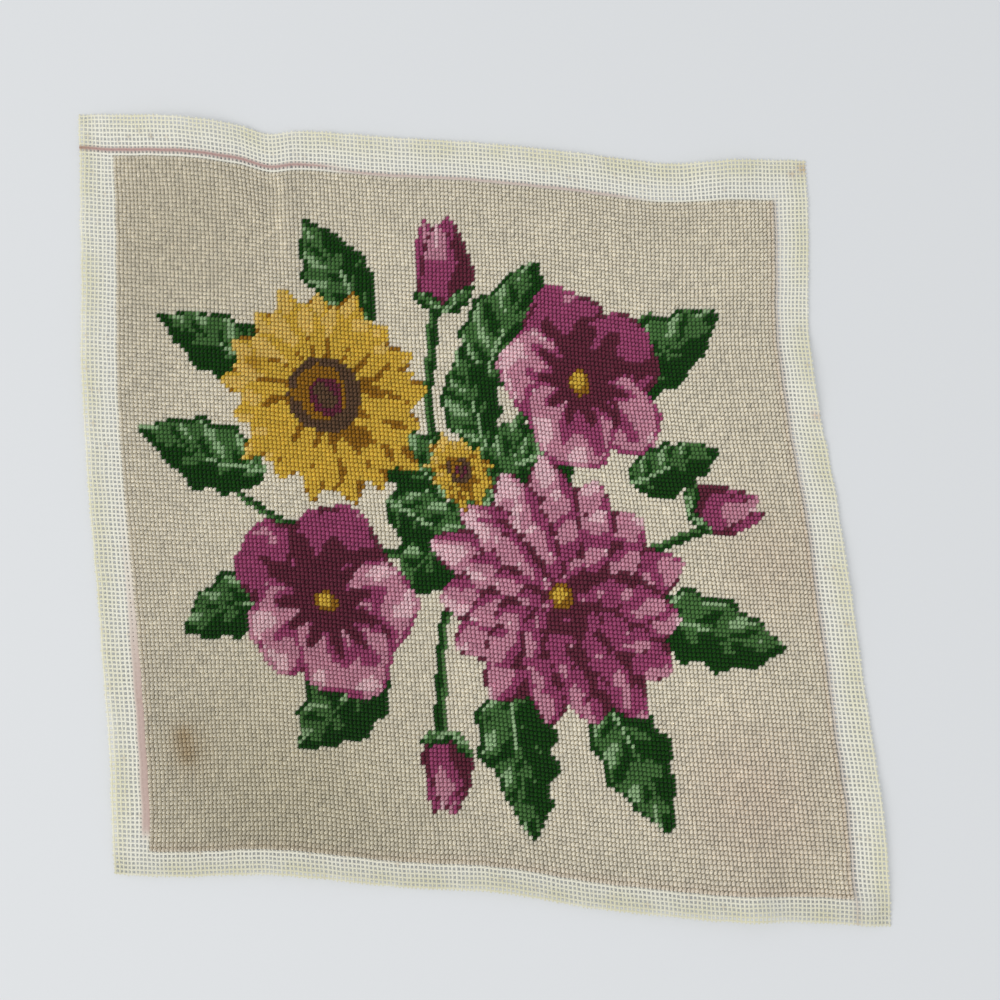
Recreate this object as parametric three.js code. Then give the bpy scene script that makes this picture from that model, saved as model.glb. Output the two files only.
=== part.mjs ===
// Needlepoint canvas panel lying on a table.
// A cut sheet of open cotton canvas carries a field of wool tent stitches, with bare mesh left all round it.
// Millimetres, +Z up, the flat underside on z = 0 and the sheet's box centred on the Z axis.
import * as THREE from "three";

// Driving dimensions
// Spacing of the canvas threads, across the sheet and up it.
const COLUMN_PITCH = 2.405;
const ROW_PITCH = 2.575;
// The worked field, counted in stitches.
const FIELD_COLUMNS = 170;
const FIELD_ROWS = 163;
// Bare mesh round the field, counted in canvas threads.
const MARGIN_LEFT = 9;
const MARGIN_RIGHT = 9;
const MARGIN_BOTTOM = 6;
const MARGIN_TOP = 10;
// Slanting stitches pull the canvas out of square, so its rows fall to the right and its columns lean left.
const ROW_FALL = THREE.MathUtils.degToRad(3.6);
const COLUMN_LEAN = THREE.MathUtils.degToRad(4.6);
// Thicknesses of the canvas and of the wool that stands on it.
const CANVAS_THICKNESS = 1.0;
const WOOL_THICKNESS = 1.5;
const WOOL_RIM_SHARE = 0.55;
const LAYER_GAP = 0.3;
// Grid cells over the worked field and over each bare margin.
const FIELD_GRID_ACROSS = 34;
const FIELD_GRID_UP = 28;
const MARGIN_GRID = 3;

// The whole cut sheet, measured along its own threads.
const COLUMNS = MARGIN_LEFT + FIELD_COLUMNS + MARGIN_RIGHT;
const ROWS = MARGIN_BOTTOM + FIELD_ROWS + MARGIN_TOP;
const SHEET_WIDTH = COLUMNS * COLUMN_PITCH;
const SHEET_HEIGHT = ROWS * ROW_PITCH;

// Waves of the four edges, a row for each wave.
// at is the distance along the edge, from the left or from the bottom, and wide the half width of the wave.
// out moves the edge outwards, lift raises it off the table, and reach is how far into the sheet both die out.
const EDGE_WAVES = {
  top: [
    { at: 60, wide: 38, out: 0.6, lift: 6.0, reach: 46 },
    { at: 119, wide: 13, out: -4.0, lift: 0.0, reach: 60 },
    { at: 190, wide: 76, out: -2.8, lift: 0.0, reach: 150 },
    { at: 180, wide: 40, out: 0.0, lift: 1.8, reach: 34 },
    { at: 285, wide: 45, out: -1.6, lift: 2.2, reach: 40 },
    { at: 356, wide: 68, out: -7.0, lift: 0.0, reach: 190 },
    { at: 374, wide: 30, out: -2.0, lift: 0.0, reach: 30 },
    { at: 400, wide: 22, out: 0.0, lift: 3.2, reach: 38 },
  ],
  bottom: [
    { at: 108, wide: 64, out: -7.0, lift: 0.0, reach: 180 },
    { at: 110, wide: 50, out: 0.0, lift: 1.8, reach: 36 },
    { at: 217, wide: 42, out: -5.0, lift: 0.0, reach: 150 },
    { at: 230, wide: 32, out: 0.0, lift: 1.4, reach: 30 },
    { at: 345, wide: 56, out: 2.8, lift: 2.2, reach: 40 },
    { at: 376, wide: 11, out: -0.6, lift: 2.6, reach: 42 },
  ],
  left: [
    { at: 62, wide: 46, out: -1.4, lift: 2.0, reach: 44 },
    { at: 265, wide: 105, out: 4.6, lift: 0.0, reach: 190 },
    { at: 300, wide: 70, out: 0.0, lift: 1.6, reach: 34 },
  ],
  right: [
    { at: 60, wide: 42, out: 2.2, lift: 2.6, reach: 46 },
    { at: 200, wide: 44, out: -2.2, lift: 2.2, reach: 48 },
    { at: 322, wide: 24, out: 0.0, lift: 3.4, reach: 36 },
    { at: 328, wide: 84, out: -8.4, lift: 0.0, reach: 230 },
    { at: 345, wide: 60, out: -2.6, lift: 0.0, reach: 20 },
  ],
};

// The cut edge curls up all round, and the four corners come back down to the table.
const EDGE_CURL = 0.6;
const CURL_REACH = 13;
const CORNER_REACH = 9;
// Height below which the sheet counts as lying flat on the table.
const FLAT_BELOW = 0.15;

// Soft creases pressed into the sheet, a row for each crease.
// It runs up the sheet from foot to head at the distance across, and stands height above the flat.
const CREASES = [
  { across: 127, foot: 372, head: 480, wide: 8, height: 1.3 },
  { across: 374, foot: -20, head: 62, wide: 10, height: 1.1 },
];

// A bump that is 1 at its middle and dies out smoothly at about twice its half width.
function bump(distance, halfWidth) {
  return Math.exp(-((distance / halfWidth) ** 2));
}

// What one edge's waves add at a place along the edge and at a depth into the sheet.
function wavesAt(waves, along, depth) {
  const sum = { out: 0, lift: 0 };
  for (const wave of waves) {
    const share = bump(along - wave.at, wave.wide) * bump(depth, wave.reach);
    sum.out += wave.out * share;
    sum.lift += wave.lift * share;
  }
  return sum;
}

// How high the creases stand at a place on the sheet, fading out over their two ends.
function creaseHeight(across, up) {
  let height = 0;
  for (const crease of CREASES) {
    const middle = (crease.foot + crease.head) / 2;
    const halfLength = (crease.head - crease.foot) / 2;
    height += crease.height * bump(across - crease.across, crease.wide) * bump(up - middle, halfLength);
  }
  return height;
}

// How far a place is from the nearest corner of the sheet.
function cornerDistance(across, up) {
  return Math.hypot(Math.min(across, SHEET_WIDTH - across), Math.min(up, SHEET_HEIGHT - up));
}

// How far a place is from the nearest edge of the sheet.
function edgeDistance(across, up) {
  return Math.min(across, SHEET_WIDTH - across, up, SHEET_HEIGHT - up);
}

// A place on the sheet, given along its threads, as a point of its underside.
function undersideAt(across, up) {
  const top = wavesAt(EDGE_WAVES.top, across, SHEET_HEIGHT - up);
  const bottom = wavesAt(EDGE_WAVES.bottom, across, up);
  const left = wavesAt(EDGE_WAVES.left, up, across);
  const right = wavesAt(EDGE_WAVES.right, up, SHEET_WIDTH - across);
  const curl = EDGE_CURL * bump(edgeDistance(across, up), CURL_REACH);
  const waves = top.lift + bottom.lift + left.lift + right.lift + creaseHeight(across, up);
  const settled = bump(cornerDistance(across, up), CORNER_REACH);
  return new THREE.Vector3(
    across * Math.cos(ROW_FALL) - up * Math.sin(COLUMN_LEAN) + right.out - left.out,
    up * Math.cos(COLUMN_LEAN) - across * Math.sin(ROW_FALL) + top.out - bottom.out,
    Math.max(0, (curl + waves) * (1 - settled) - FLAT_BELOW),
  );
}

// Evenly spaced places from first to last.
function evenPlaces(first, last, cells) {
  return Array.from({ length: cells + 1 }, (unused, index) => first + ((last - first) * index) / cells);
}

// Places over the worked field, with a narrow cell of one stitch at each end that rounds the wool's rim.
function fieldPlaces(first, last, cells, stitch) {
  return [first, ...evenPlaces(first + stitch, last - stitch, cells - 2), last];
}

// The field's places with those of the bare margins before and after it.
function sheetPlaces(places, sheetEnd) {
  const before = evenPlaces(0, places[0], MARGIN_GRID).slice(0, -1);
  const after = evenPlaces(places.at(-1), sheetEnd, MARGIN_GRID).slice(1);
  return [...before, ...places, ...after];
}

// A closed sheet over a grid of places: a lower skin, an upper skin and the rim between them.
// rise gives how far the lower skin stands above the sheet's underside, and thickness what lies over it.
function closedSheet(acrossPlaces, upPlaces, rise, thickness) {
  const wide = acrossPlaces.length;
  const tall = upPlaces.length;
  const lower = [];
  const upper = [];
  upPlaces.forEach((up, row) => {
    acrossPlaces.forEach((across, column) => {
      const point = undersideAt(across, up);
      const onRim = row === 0 || column === 0 || row === tall - 1 || column === wide - 1;
      lower.push(point.x, point.y, point.z + rise);
      upper.push(point.x, point.y, point.z + rise + thickness(onRim));
    });
  });

  const skin = wide * tall;
  const faces = [];
  for (let row = 0; row < tall - 1; row++) {
    for (let column = 0; column < wide - 1; column++) {
      const a = row * wide + column;
      const b = a + 1;
      const c = b + wide;
      const d = a + wide;
      faces.push(a, c, b, a, d, c);
      faces.push(skin + a, skin + b, skin + c, skin + a, skin + c, skin + d);
    }
  }

  const border = borderLoop(wide, tall);
  border.forEach((from, step) => {
    const to = border[(step + 1) % border.length];
    faces.push(from, to, skin + to, from, skin + to, skin + from);
  });

  const geometry = new THREE.BufferGeometry();
  geometry.setAttribute("position", new THREE.Float32BufferAttribute([...lower, ...upper], 3));
  geometry.setIndex(faces);
  geometry.computeVertexNormals();
  return geometry;
}

// Grid indices round the border of a skin, counter-clockwise seen from above.
function borderLoop(wide, tall) {
  const loop = [];
  for (let column = 0; column < wide - 1; column++) {
    loop.push(column);
  }
  for (let row = 0; row < tall - 1; row++) {
    loop.push(row * wide + wide - 1);
  }
  for (let column = wide - 1; column > 0; column--) {
    loop.push((tall - 1) * wide + column);
  }
  for (let row = tall - 1; row > 0; row--) {
    loop.push(row * wide);
  }
  return loop;
}

// Grid of the worked field, shared by both layers so that they stay the same distance apart.
const fieldLeft = MARGIN_LEFT * COLUMN_PITCH;
const fieldRight = fieldLeft + FIELD_COLUMNS * COLUMN_PITCH;
const fieldBottom = MARGIN_BOTTOM * ROW_PITCH;
const fieldTop = fieldBottom + FIELD_ROWS * ROW_PITCH;
const acrossField = fieldPlaces(fieldLeft, fieldRight, FIELD_GRID_ACROSS, COLUMN_PITCH);
const upField = fieldPlaces(fieldBottom, fieldTop, FIELD_GRID_UP, ROW_PITCH);

// The cut canvas, from edge to edge.
const canvas = new THREE.Mesh(
  closedSheet(
    sheetPlaces(acrossField, SHEET_WIDTH),
    sheetPlaces(upField, SHEET_HEIGHT),
    0,
    () => CANVAS_THICKNESS,
  ),
  new THREE.MeshStandardMaterial({ color: 0xd8d4c2, roughness: 0.95, metalness: 0 }),
);
canvas.name = "canvas";

// The layer of wool stitches over the worked field.
const woolStitching = new THREE.Mesh(
  closedSheet(
    acrossField,
    upField,
    CANVAS_THICKNESS + LAYER_GAP,
    (onRim) => WOOL_THICKNESS * (onRim ? WOOL_RIM_SHARE : 1),
  ),
  new THREE.MeshStandardMaterial({ color: 0xc4b9a3, roughness: 0.9, metalness: 0 }),
);
woolStitching.name = "wool_stitching";

// Both layers, moved so that the middle of the canvas is over the origin.
const panel = new THREE.Group();
panel.add(canvas, woolStitching);
canvas.geometry.computeBoundingBox();
const middle = canvas.geometry.boundingBox.getCenter(new THREE.Vector3());
panel.position.set(-middle.x, -middle.y, 0);

const group = new THREE.Group();
group.add(panel);

export default group;
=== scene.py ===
"""Needlepoint canvas panel: wool tent stitches on open cotton canvas, lying on a pale table."""

import math

import bpy
import numpy as np
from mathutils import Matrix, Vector


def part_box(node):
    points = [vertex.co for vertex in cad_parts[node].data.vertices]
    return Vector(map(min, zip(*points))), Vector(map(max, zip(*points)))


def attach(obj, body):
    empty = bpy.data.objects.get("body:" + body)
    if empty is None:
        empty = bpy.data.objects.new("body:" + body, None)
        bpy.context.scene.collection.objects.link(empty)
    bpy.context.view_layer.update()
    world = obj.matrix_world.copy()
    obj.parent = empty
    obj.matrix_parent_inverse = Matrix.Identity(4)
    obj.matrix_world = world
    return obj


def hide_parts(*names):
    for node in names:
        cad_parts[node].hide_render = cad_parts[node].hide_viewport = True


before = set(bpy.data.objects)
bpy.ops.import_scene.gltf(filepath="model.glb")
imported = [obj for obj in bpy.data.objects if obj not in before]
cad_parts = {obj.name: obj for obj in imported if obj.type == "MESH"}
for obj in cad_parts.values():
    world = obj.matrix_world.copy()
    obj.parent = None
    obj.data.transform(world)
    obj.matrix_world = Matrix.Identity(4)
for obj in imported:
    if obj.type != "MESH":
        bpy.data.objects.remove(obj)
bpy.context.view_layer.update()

MM = 0.001
TURN = 2 * math.pi

# The canvas and its worked field: thread spacing in millimetres, then counts of threads
COLUMN_PITCH = 2.405
ROW_PITCH = 2.575
FIELD_COLUMNS = 170
FIELD_ROWS = 163
MARGIN_LEFT = 9
MARGIN_RIGHT = 9
MARGIN_BOTTOM = 6
MARGIN_TOP = 10
COLUMNS = MARGIN_LEFT + FIELD_COLUMNS + MARGIN_RIGHT
ROWS = MARGIN_BOTTOM + FIELD_ROWS + MARGIN_TOP
SHEET_WIDTH = COLUMNS * COLUMN_PITCH
SHEET_HEIGHT = ROWS * ROW_PITCH

# Threads at which the worked field starts and ends
FIELD_LEFT = MARGIN_LEFT
FIELD_RIGHT = MARGIN_LEFT + FIELD_COLUMNS
FIELD_BOTTOM = MARGIN_BOTTOM
FIELD_TOP = MARGIN_BOTTOM + FIELD_ROWS

# Slanting stitches pull the canvas out of square: its rows fall to the right and its columns lean left
ROW_FALL = math.radians(3.6)
COLUMN_LEAN = math.radians(4.6)

# Waves of the four edges, in millimetres, a row for each wave:
# place along the edge, half width, move outwards, lift, and how far both reach into the sheet
WAVE_COLUMNS = ("at", "wide", "out", "lift", "reach")
EDGE_WAVES = {
    "top": (
        (60, 38, 0.6, 6.0, 46),
        (119, 13, -4.0, 0.0, 60),
        (190, 76, -2.8, 0.0, 150),
        (180, 40, 0.0, 1.8, 34),
        (285, 45, -1.6, 2.2, 40),
        (356, 68, -7.0, 0.0, 190),
        (374, 30, -2.0, 0.0, 30),
        (400, 22, 0.0, 3.2, 38),
    ),
    "bottom": (
        (108, 64, -7.0, 0.0, 180),
        (110, 50, 0.0, 1.8, 36),
        (217, 42, -5.0, 0.0, 150),
        (230, 32, 0.0, 1.4, 30),
        (345, 56, 2.8, 2.2, 40),
        (376, 11, -0.6, 2.6, 42),
    ),
    "left": (
        (62, 46, -1.4, 2.0, 44),
        (265, 105, 4.6, 0.0, 190),
        (300, 70, 0.0, 1.6, 34),
    ),
    "right": (
        (60, 42, 2.2, 2.6, 46),
        (200, 44, -2.2, 2.2, 48),
        (322, 24, 0.0, 3.4, 36),
        (328, 84, -8.4, 0.0, 230),
        (345, 60, -2.6, 0.0, 20),
    ),
}

# The cut edge curls up all round, and the corners come back down to the table
EDGE_CURL = 0.6
CURL_REACH = 13
CORNER_REACH = 9
# Height below which the sheet counts as lying flat
FLAT_BELOW = 0.15

# Pressed creases, in millimetres: place across, foot, head, half width, height
CREASE_COLUMNS = ("across", "foot", "head", "wide", "height")
CREASES = (
    (127, 372, 480, 8, 1.3),
    (374, -20, 62, 10, 1.1),
)

# Places looked at along each edge to find the sheet's outline
OUTLINE_SAMPLES = 300


def bump(distance, half_width):
    """A bell that is 1 at its middle: e to the minus square of distance over half width."""
    return np.exp(-((distance / half_width) ** 2))


def step(distance, softness):
    """A smooth step from 0 to 1: one over one plus e to the minus distance over softness."""
    return 1 / (1 + np.exp(-distance / softness))


def waves_at(edge, along, depth):
    """Sum of an edge's waves at a place along it and a depth into the sheet: (move outwards, lift)."""
    out = 0
    lift = 0
    for row in EDGE_WAVES[edge]:
        wave = dict(zip(WAVE_COLUMNS, row))
        share = bump(along - wave["at"], wave["wide"]) * bump(depth, wave["reach"])
        out = out + wave["out"] * share
        lift = lift + wave["lift"] * share
    return out, lift


def crease_height(across, up):
    """Sum of the pressed creases: a bell across each crease times a bell along it."""
    height = 0
    for row in CREASES:
        crease = dict(zip(CREASE_COLUMNS, row))
        middle = (crease["foot"] + crease["head"]) / 2
        half_length = (crease["head"] - crease["foot"]) / 2
        ridge = bump(across - crease["across"], crease["wide"]) * bump(up - middle, half_length)
        height = height + crease["height"] * ridge
    return height


def sheet_millimetres(across, up, above):
    """Points of the lying sheet for places along its threads and heights above its underside.

    The threads' grid is a parallelogram, moved outwards at the edges by their waves and lifted by the waves,
    the creases and the curl of the cut edge; the corners settle back to the table.
    """
    top_out, top_lift = waves_at("top", across, SHEET_HEIGHT - up)
    bottom_out, bottom_lift = waves_at("bottom", across, up)
    left_out, left_lift = waves_at("left", up, across)
    right_out, right_lift = waves_at("right", up, SHEET_WIDTH - across)
    to_side = np.minimum(across, SHEET_WIDTH - across)
    to_end = np.minimum(up, SHEET_HEIGHT - up)
    curl = EDGE_CURL * bump(np.minimum(to_side, to_end), CURL_REACH)
    waves = top_lift + bottom_lift + left_lift + right_lift + crease_height(across, up)
    settled = bump(np.hypot(to_side, to_end), CORNER_REACH)
    lift = np.maximum(0, (curl + waves) * (1 - settled) - FLAT_BELOW)
    x = across * math.cos(ROW_FALL) - up * math.sin(COLUMN_LEAN) + right_out - left_out
    y = up * math.cos(COLUMN_LEAN) - across * math.sin(ROW_FALL) + top_out - bottom_out
    return np.stack(np.broadcast_arrays(x, y, lift + above), axis=-1)


def middle_of_outline():
    """Middle of the box round the sheet's four edges, in millimetres."""
    share = np.linspace(0, 1, OUTLINE_SAMPLES)
    sides = [
        sheet_millimetres(share * SHEET_WIDTH, 0 * share, 0),
        sheet_millimetres(share * SHEET_WIDTH, 0 * share + SHEET_HEIGHT, 0),
        sheet_millimetres(0 * share, share * SHEET_HEIGHT, 0),
        sheet_millimetres(0 * share + SHEET_WIDTH, share * SHEET_HEIGHT, 0),
    ]
    points = np.concatenate(sides)
    return (points.min(axis=0) + points.max(axis=0)) / 2


# Move, in metres, that puts the middle of the outline over the middle of the frame's canvas
canvas_low, canvas_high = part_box("canvas")
OUTLINE_MIDDLE = middle_of_outline()
SHIFT = np.array(
    [
        (canvas_low[0] + canvas_high[0]) / 2 - OUTLINE_MIDDLE[0] * MM,
        (canvas_low[1] + canvas_high[1]) / 2 - OUTLINE_MIDDLE[1] * MM,
        canvas_low[2],
    ]
)

# The waves of a ripple: turn from its direction, wavelength as a share, phase, phase for a radian of turn
RIPPLE_COLUMNS = ("turned", "stretch", "phase", "phase_by_turn")
RIPPLE_WAVES = (
    (0.0, 1.0, 0.0, 3.1),
    (2.2, 0.77, 1.3, 0.0),
    (4.1, 1.31, 0.0, 0.4),
)


def ripple(x, y, wavelength, turn):
    """Smooth unevenness between -1 and 1: the mean of three sine waves that cross, near the wavelength."""
    total = 0
    for row in RIPPLE_WAVES:
        wave = dict(zip(RIPPLE_COLUMNS, row))
        direction = turn + wave["turned"]
        along = x * math.cos(direction) + y * math.sin(direction)
        phase = wave["phase"] + wave["phase_by_turn"] * turn
        total = total + np.sin(along * TURN / (wavelength * wave["stretch"]) + phase)
    return total / len(RIPPLE_WAVES)


# Small unevenness of hand work: how far threads are pulled aside, in millimetres, by a broad ripple and a
# share of a finer one. Each ripple has its wavelength in millimetres and its direction in radians.
PULL = 0.4
FINE_PULL_SHARE = 0.6
PULL_ACROSS_BROAD = (67, 0.3)
PULL_ACROSS_FINE = (26, 1.7)
PULL_UP_BROAD = (59, 2.4)
PULL_UP_FINE = (23, 0.8)

# A stretch of the left side is pulled further to the right: how far, its middle and its half widths
SIDE_PULL = 1.7
SIDE_PULL_ACROSS = 30
SIDE_PULL_UP = 60
SIDE_PULL_HALF_WIDTH = 30
SIDE_PULL_HALF_HEIGHT = 110

# The bare margins pucker, by this height on average at the cut edge
PUCKER = 0.35
PUCKER_REACH = 15
PUCKER_WAVE = (29, 1.2)

# Along the foot the canvas stands highest just below the first stitches, and comes down to its cut edge
FOOT_LIFT = 2.4
FOOT_CREST = 14
FOOT_REACH = 10


def edge_distance(across, up):
    """How far a place is from the nearest edge of the sheet: the least of its four distances."""
    return np.minimum.reduce([across, SHEET_WIDTH - across, up, SHEET_HEIGHT - up])


def uneven_pull(across, up, broad, fine):
    """How far a thread is pulled aside: a broad ripple and a share of a fine one, times the pull."""
    return PULL * (ripple(across, up, *broad) + FINE_PULL_SHARE * ripple(across, up, *fine))


def sheet_points(across, up, above):
    """The same points in metres, in the part's own frame, with threads pulled aside and the margins puckered.

    The pucker is a ripple that dies out inwards. The foot's lift is a bell up the sheet that settles at both
    sides.
    """
    pucker = PUCKER * (1 + ripple(across, up, *PUCKER_WAVE)) * bump(edge_distance(across, up), PUCKER_REACH)
    settled = bump(np.minimum(across, SHEET_WIDTH - across), FOOT_REACH)
    lift = pucker + FOOT_LIFT * bump(up - FOOT_CREST, FOOT_REACH) * (1 - settled)
    side_pull = SIDE_PULL * bump(across - SIDE_PULL_ACROSS, SIDE_PULL_HALF_WIDTH)
    side_pull = side_pull * bump(up - SIDE_PULL_UP, SIDE_PULL_HALF_HEIGHT)
    pulled_across = across + uneven_pull(across, up, PULL_ACROSS_BROAD, PULL_ACROSS_FINE) + side_pull
    pulled_up = up + uneven_pull(across, up, PULL_UP_BROAD, PULL_UP_FINE)
    return sheet_millimetres(pulled_across, pulled_up, above + lift) * MM + SHIFT


# Wools of the chart, as sRGB
WOOLS = {
    "ground": "f7efdb",
    "wine": "722e42",
    "plum": "b0517d",
    "rose": "dfa0b4",
    "blush": "fcd6dd",
    "pine": "134a08",
    "leaf": "538244",
    "sage": "a6c896",
    "gold": "e9c44b",
    "straw": "f6d575",
    "ochre": "a4741b",
    "umber": "6a4f39",
}
WOOL_NAMES = list(WOOLS)
BLOSSOM = ("wine", "plum", "rose", "blush")
DARK_BLOSSOM = ("wine", "plum", "rose")
GREENS = ("pine", "leaf", "sage")
STEM_GREENS = ("pine", "leaf")
YELLOWS = ("ochre", "gold", "straw")
HEART_YELLOWS = ("ochre", "gold")

# Direction of the light that is painted into the design, and a tone below every step of the wools
LIGHT_FROM = math.radians(126)
DARKEST = -9

# How far drawn shapes stray from their formulas, in stitches, with wavelength and direction of both ripples
STRAY = 0.9
STRAY_ACROSS = (19, 0.4)
STRAY_UP = (17, 2.0)

# Powers that fill out the sine profiles of petals and leaves, and one that moves a leaf's belly to its foot
PETAL_FULLNESS = 0.7
LEAF_FULLNESS = 0.8
LEAF_BELLY = 0.8

# Shares of a length at which a profile is cut off at both ends, and at which an axis bends no further
PROFILE_START = 0.001
PROFILE_END = 0.999
BEND_END = 1.2

# Tone of a petal: gain to its tip, gain to its lit side, loss to its rim, and its grain
PETAL_TIP = 0.85
PETAL_LIT = 0.22
PETAL_RIM = 0.35
PETAL_GRAIN = 0.13
PETAL_GRAIN_WAVE = 7.5
PETAL_GRAIN_TURN = 1.7
PETAL_GRAIN_START = 0.5

# Tone of a round heart: gain to the upper left, and its grain
HEART_LIT = 0.15
HEART_GRAIN = 0.15
HEART_GRAIN_WAVE = (5, 1.0)

# A leaf: depth and spacing of its teeth, then tone of its lit half, veins, grain, midrib and rim
TOOTH_DEPTH = 0.1
TOOTH_RATE = 26
LEAF_LIT = 0.45
LEAF_DULL = 0.06
VEIN_TONE = 0.26
VEIN_COUNT = 4.2
VEIN_SLANT = 0.9
VEIN_START = 0.12
LEAF_GRAIN = 0.18
LEAF_GRAIN_WAVE = 8
MIDRIB_HALF_WIDTH = 0.55
MIDRIB_TONE = 0.75
MIDRIB_FADE = 0.9
LEAF_RIM = 0.86
LEAF_STEPS = (-0.05, 0.33)
STEM_STEPS = (0.1,)

# The dahlia: for each ring of petals, outermost first, their count, and their reach and width as shares of
# the radius; then how rings and petals differ, and its heart
DAHLIA_RINGS = ((15, 1.0, 0.44), (13, 0.8, 0.4), (11, 0.58, 0.36), (8, 0.37, 0.3), (5, 0.19, 0.2))
DAHLIA_RING_TURN = 0.21
DAHLIA_UNEVEN = 0.06
DAHLIA_UNEVEN_RATE = 5
DAHLIA_NARROWING = 0.4
DAHLIA_LIGHT = 0.11
DAHLIA_RING_LOSS = 0.035
DAHLIA_LIT = 0.16
DAHLIA_BELLY = 1.5
DAHLIA_EDGE = 0.1
DAHLIA_STEPS = (0.4, 0.68, 0.92)
DAHLIA_HEART = 0.09
DAHLIA_HEART_STEPS = (0.45,)

# The sunflower: for each ring of petals its reach as a share of the radius, its shift in petals, its light
# and the share of a petal that is its dark edge; then how petals differ, the disc and its eye
SUNFLOWER_RINGS = ((1.0, 0.0, 0.1, 0.12), (0.86, 0.5, 0.16, 0.0))
SUNFLOWER_UNEVEN = 0.05
SUNFLOWER_UNEVEN_RATE = 7
SUNFLOWER_LIT = 0.24
SUNFLOWER_PETAL_WIDTH = 0.34
SUNFLOWER_BELLY = 1.25
SUNFLOWER_STEPS = (0.4, 0.9)
SUNFLOWER_DISC = 0.36
SUNFLOWER_DISC_STEPS = (0.33,)
SUNFLOWER_EYE = 0.16
SUNFLOWER_EYE_ASIDE = 0.4
SUNFLOWER_EYE_STEPS = (0.4,)

# The pansy: wools, steps of tone and reach of the blotch for its dark and its pale petals
PANSY_DARK = (DARK_BLOSSOM, (0.62, 1.02), 0.3)
PANSY_PALE = (BLOSSOM, (0.2, 0.5, 0.73), 0.41)
# Its petals, back to front: angle, place and size as shares of the radius, and kind
PANSY_PETALS = (
    (0.62, 0.52, 0.52, PANSY_DARK),
    (-0.62, 0.52, 0.52, PANSY_DARK),
    (1.85, 0.5, 0.47, PANSY_PALE),
    (-1.85, 0.5, 0.47, PANSY_PALE),
    (math.pi, 0.46, 0.54, PANSY_PALE),
)
# Its rays, frilled rims, tone and eye
PANSY_RAYS = 0.12
PANSY_RAY_COUNT = 11
PANSY_FRILL = 0.05
PANSY_FRILL_COUNT = 5
PANSY_OUTWARDS = 0.9
PANSY_GRAIN = 0.12
PANSY_GRAIN_WAVE = 8
PANSY_LIT = 0.1
PANSY_RIM = 0.9
PANSY_RIM_LOSS = 0.3
PANSY_EYE = 0.13
PANSY_EYE_STEPS = (0.35,)

# The bud: lean, length and width of its side petals, of its front petal and of the two leaves at its foot
BUD_SIDE_LEAN = 0.2
BUD_SIDE_LENGTH = 0.98
BUD_SIDE_WIDTH = 0.62
BUD_SIDE_BEND = 1.5
BUD_SIDE_STEPS = (0.45, 0.86)
BUD_LIGHT = 0.05
BUD_SIDE_LIT = 0.1
BUD_FRONT_LENGTH = 0.92
BUD_FRONT_WIDTH = 0.66
BUD_FRONT_EDGE = 0.12
BUD_FRONT_STEPS = (0.22, 0.5, 0.78)
BUD_BELLY = 0.75
BUD_LEAF_LEAN = 0.9
BUD_LEAF_LENGTH = 0.42
BUD_LEAF_WIDTH = 0.22


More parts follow.
